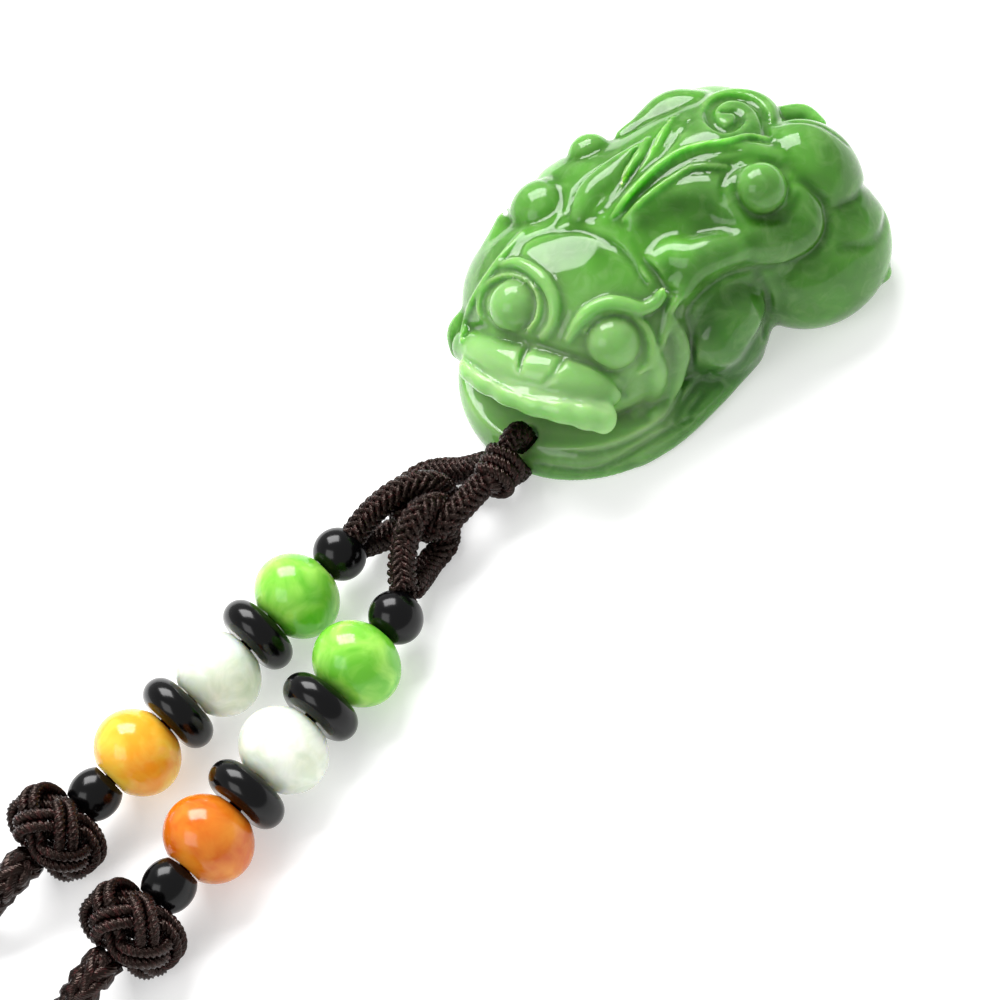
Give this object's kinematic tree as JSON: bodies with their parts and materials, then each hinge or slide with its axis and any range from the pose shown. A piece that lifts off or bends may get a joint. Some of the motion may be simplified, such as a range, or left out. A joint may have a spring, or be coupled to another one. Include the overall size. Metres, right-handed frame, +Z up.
{
  "type": "jade pixiu pendant",
  "caption": "Carved green jade pixiu pendant on a long braided brown neck cord, with strands of green, white, amber, orange and black beads and woven button knots.",
  "frame": {"origin": "on the table, under the middle of the beast's footprint", "axes": "+Z up; the beast lies along Y with its head at -Y, and the beads and the neck cord run on towards -Y; +X is the side that the picture sees"},
  "size_m": [0.0636, 0.1626, 0.0193],
  "materials": {
    "green_jade": "polished, slightly translucent",
    "green_stone": "polished",
    "white_stone": "polished",
    "amber_stone": "polished",
    "orange_stone": "polished",
    "black_stone": "high polish",
    "brown_cord": "braided, waxed"
  },
  "bodies": {
    "root": {"jade_pixiu": "green_jade", "left_black_round": "black_stone", "left_green_bead": "green_stone", "left_black_disc_1": "black_stone", "left_white_bead": "white_stone", "left_black_disc_2": "black_stone", "left_amber_bead": "amber_stone", "left_black_barrel": "black_stone", "left_thread": "brown_cord", "left_button_knot": "brown_cord", "right_black_round": "black_stone", "right_green_bead": "green_stone", "right_black_disc_1": "black_stone", "right_white_bead": "white_stone", "right_black_disc_2": "black_stone", "right_orange_bead": "orange_stone", "right_black_barrel": "black_stone", "right_thread": "brown_cord", "right_button_knot": "brown_cord", "hole_loop": "brown_cord", "wrap_knot": "brown_cord", "link_loop": "brown_cord", "left_eye_loop": "brown_cord", "right_eye_loop": "brown_cord", "neck_cord_left": "brown_cord", "neck_cord_right": "brown_cord", "neck_cord_coil": "brown_cord"}
  },
  "joints": []
}
